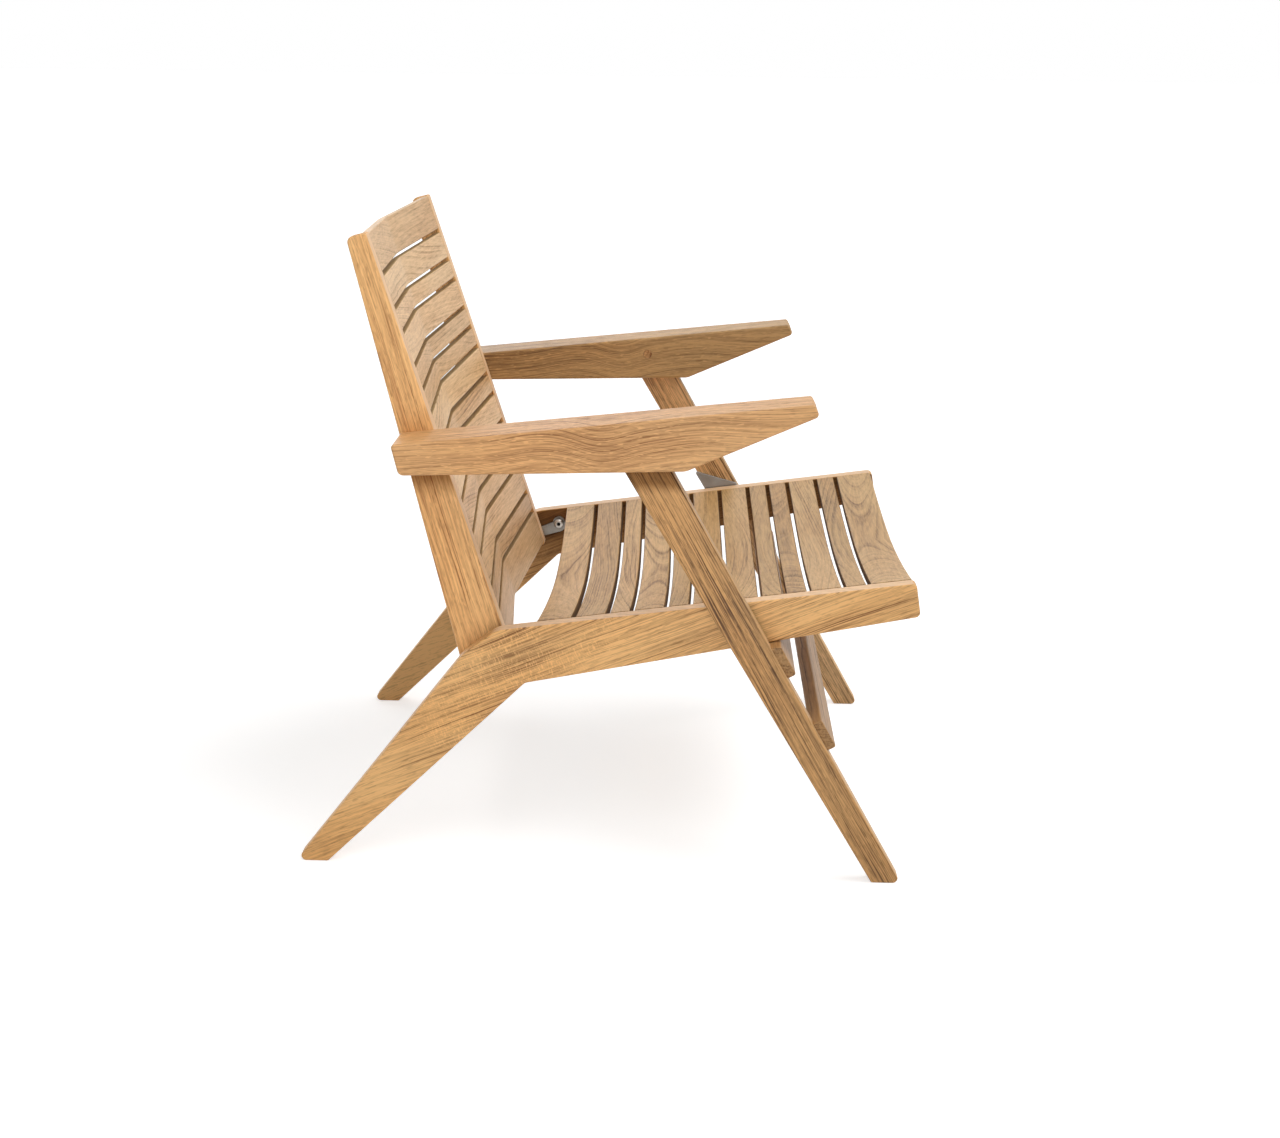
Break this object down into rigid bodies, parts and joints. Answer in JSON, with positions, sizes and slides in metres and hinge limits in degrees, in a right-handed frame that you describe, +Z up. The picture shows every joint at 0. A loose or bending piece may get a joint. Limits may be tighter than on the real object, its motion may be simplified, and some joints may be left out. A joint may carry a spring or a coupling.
{
  "type": "folding lounge chair",
  "caption": "Low folding wooden lounge chair with slatted hollowed seat, slatted V-bent back, wide armrests and crossed legs.",
  "frame": {"origin": "on the floor, in the middle of the footprint of the open chair", "axes": "+X to the sitter's left, the front of the chair faces -Y, +Z up"},
  "size_m": [0.6598, 0.7412, 0.7615],
  "materials": {
    "teak_frame": "oiled teak, sanded smooth",
    "teak_slat": "oiled teak, slightly greyer, sanded smooth",
    "stainless": "brushed stainless steel"
  },
  "bodies": {
    "seat_frame": {"rear_leg_rail_left": "teak_frame", "rear_leg_rail_right": "teak_frame", "seat_slat_01": "teak_slat", "seat_slat_02": "teak_slat", "seat_slat_03": "teak_slat", "seat_slat_04": "teak_slat", "seat_slat_05": "teak_slat", "seat_slat_06": "teak_slat", "seat_slat_07": "teak_slat", "seat_slat_08": "teak_slat", "seat_slat_09": "teak_slat", "seat_slat_10": "teak_slat", "seat_slat_11": "teak_slat", "seat_slat_12": "teak_slat", "hinge_bolt_left": "stainless", "hinge_bolt_right": "stainless", "hinge_spacer_left": "stainless", "hinge_spacer_right": "stainless", "pivot_washer_left": "stainless", "pivot_washer_right": "stainless"},
    "back_frame": {"back_stile_left": "teak_frame", "back_stile_right": "teak_frame", "back_slat_01": "teak_slat", "back_slat_02": "teak_slat", "back_slat_03": "teak_slat", "back_slat_04": "teak_slat", "back_slat_05": "teak_slat", "back_slat_06": "teak_slat", "back_slat_07": "teak_slat", "back_slat_08": "teak_slat", "back_slat_09": "teak_slat", "back_slat_10": "teak_slat", "back_slat_11": "teak_slat", "back_slat_12": "teak_slat", "back_slat_13": "teak_slat", "back_slat_14": "teak_slat", "hinge_bracket_left": "stainless", "hinge_bracket_right": "stainless", "bracket_screw_left_1": "stainless", "bracket_screw_left_2": "stainless", "bracket_screw_right_1": "stainless", "bracket_screw_right_2": "stainless"},
    "leg_frame": {"front_leg_left": "teak_frame", "front_leg_right": "teak_frame", "stop_bar": "teak_frame", "stretcher": "teak_frame", "pivot_plate_left": "stainless", "pivot_plate_right": "stainless", "leg_pivot_bolt_left": "stainless", "leg_pivot_bolt_right": "stainless"},
    "arm_left": {"armrest_left": "teak_frame", "arm_bolt_left": "stainless", "arm_pin_left": "stainless", "arm_plug_left": "teak_frame"},
    "arm_right": {"armrest_right": "teak_frame", "arm_bolt_right": "stainless", "arm_pin_right": "stainless", "arm_plug_right": "teak_frame"}
  },
  "joints": [
    {"name": "back_fold", "type": "hinge", "parent": "seat_frame", "child": "back_frame", "pos_m": [0, 0.0917, 0.288], "axis": [1, 0, 0], "range_deg": [0, 90]},
    {"name": "leg_fold", "type": "hinge", "parent": "seat_frame", "child": "leg_frame", "pos_m": [0, -0.1668, 0.3075], "axis": [1, 0, 0], "range_deg": [0, 90]},
    {"name": "arm_turn_left", "type": "hinge", "parent": "back_frame", "child": "arm_left", "pos_m": [0.28, 0.2227, 0.521], "axis": [1, 0, 0], "range_deg": [-90, 0]},
    {"name": "arm_turn_right", "type": "hinge", "parent": "back_frame", "child": "arm_right", "pos_m": [-0.28, 0.2227, 0.521], "axis": [1, 0, 0], "range_deg": [-90, 0]}
  ],
  "couplings": [
    {"joint": "leg_fold", "follows": "back_fold", "ratio": 1},
    {"joint": "arm_turn_left", "follows": "back_fold", "ratio": -1},
    {"joint": "arm_turn_right", "follows": "back_fold", "ratio": -1}
  ]
}
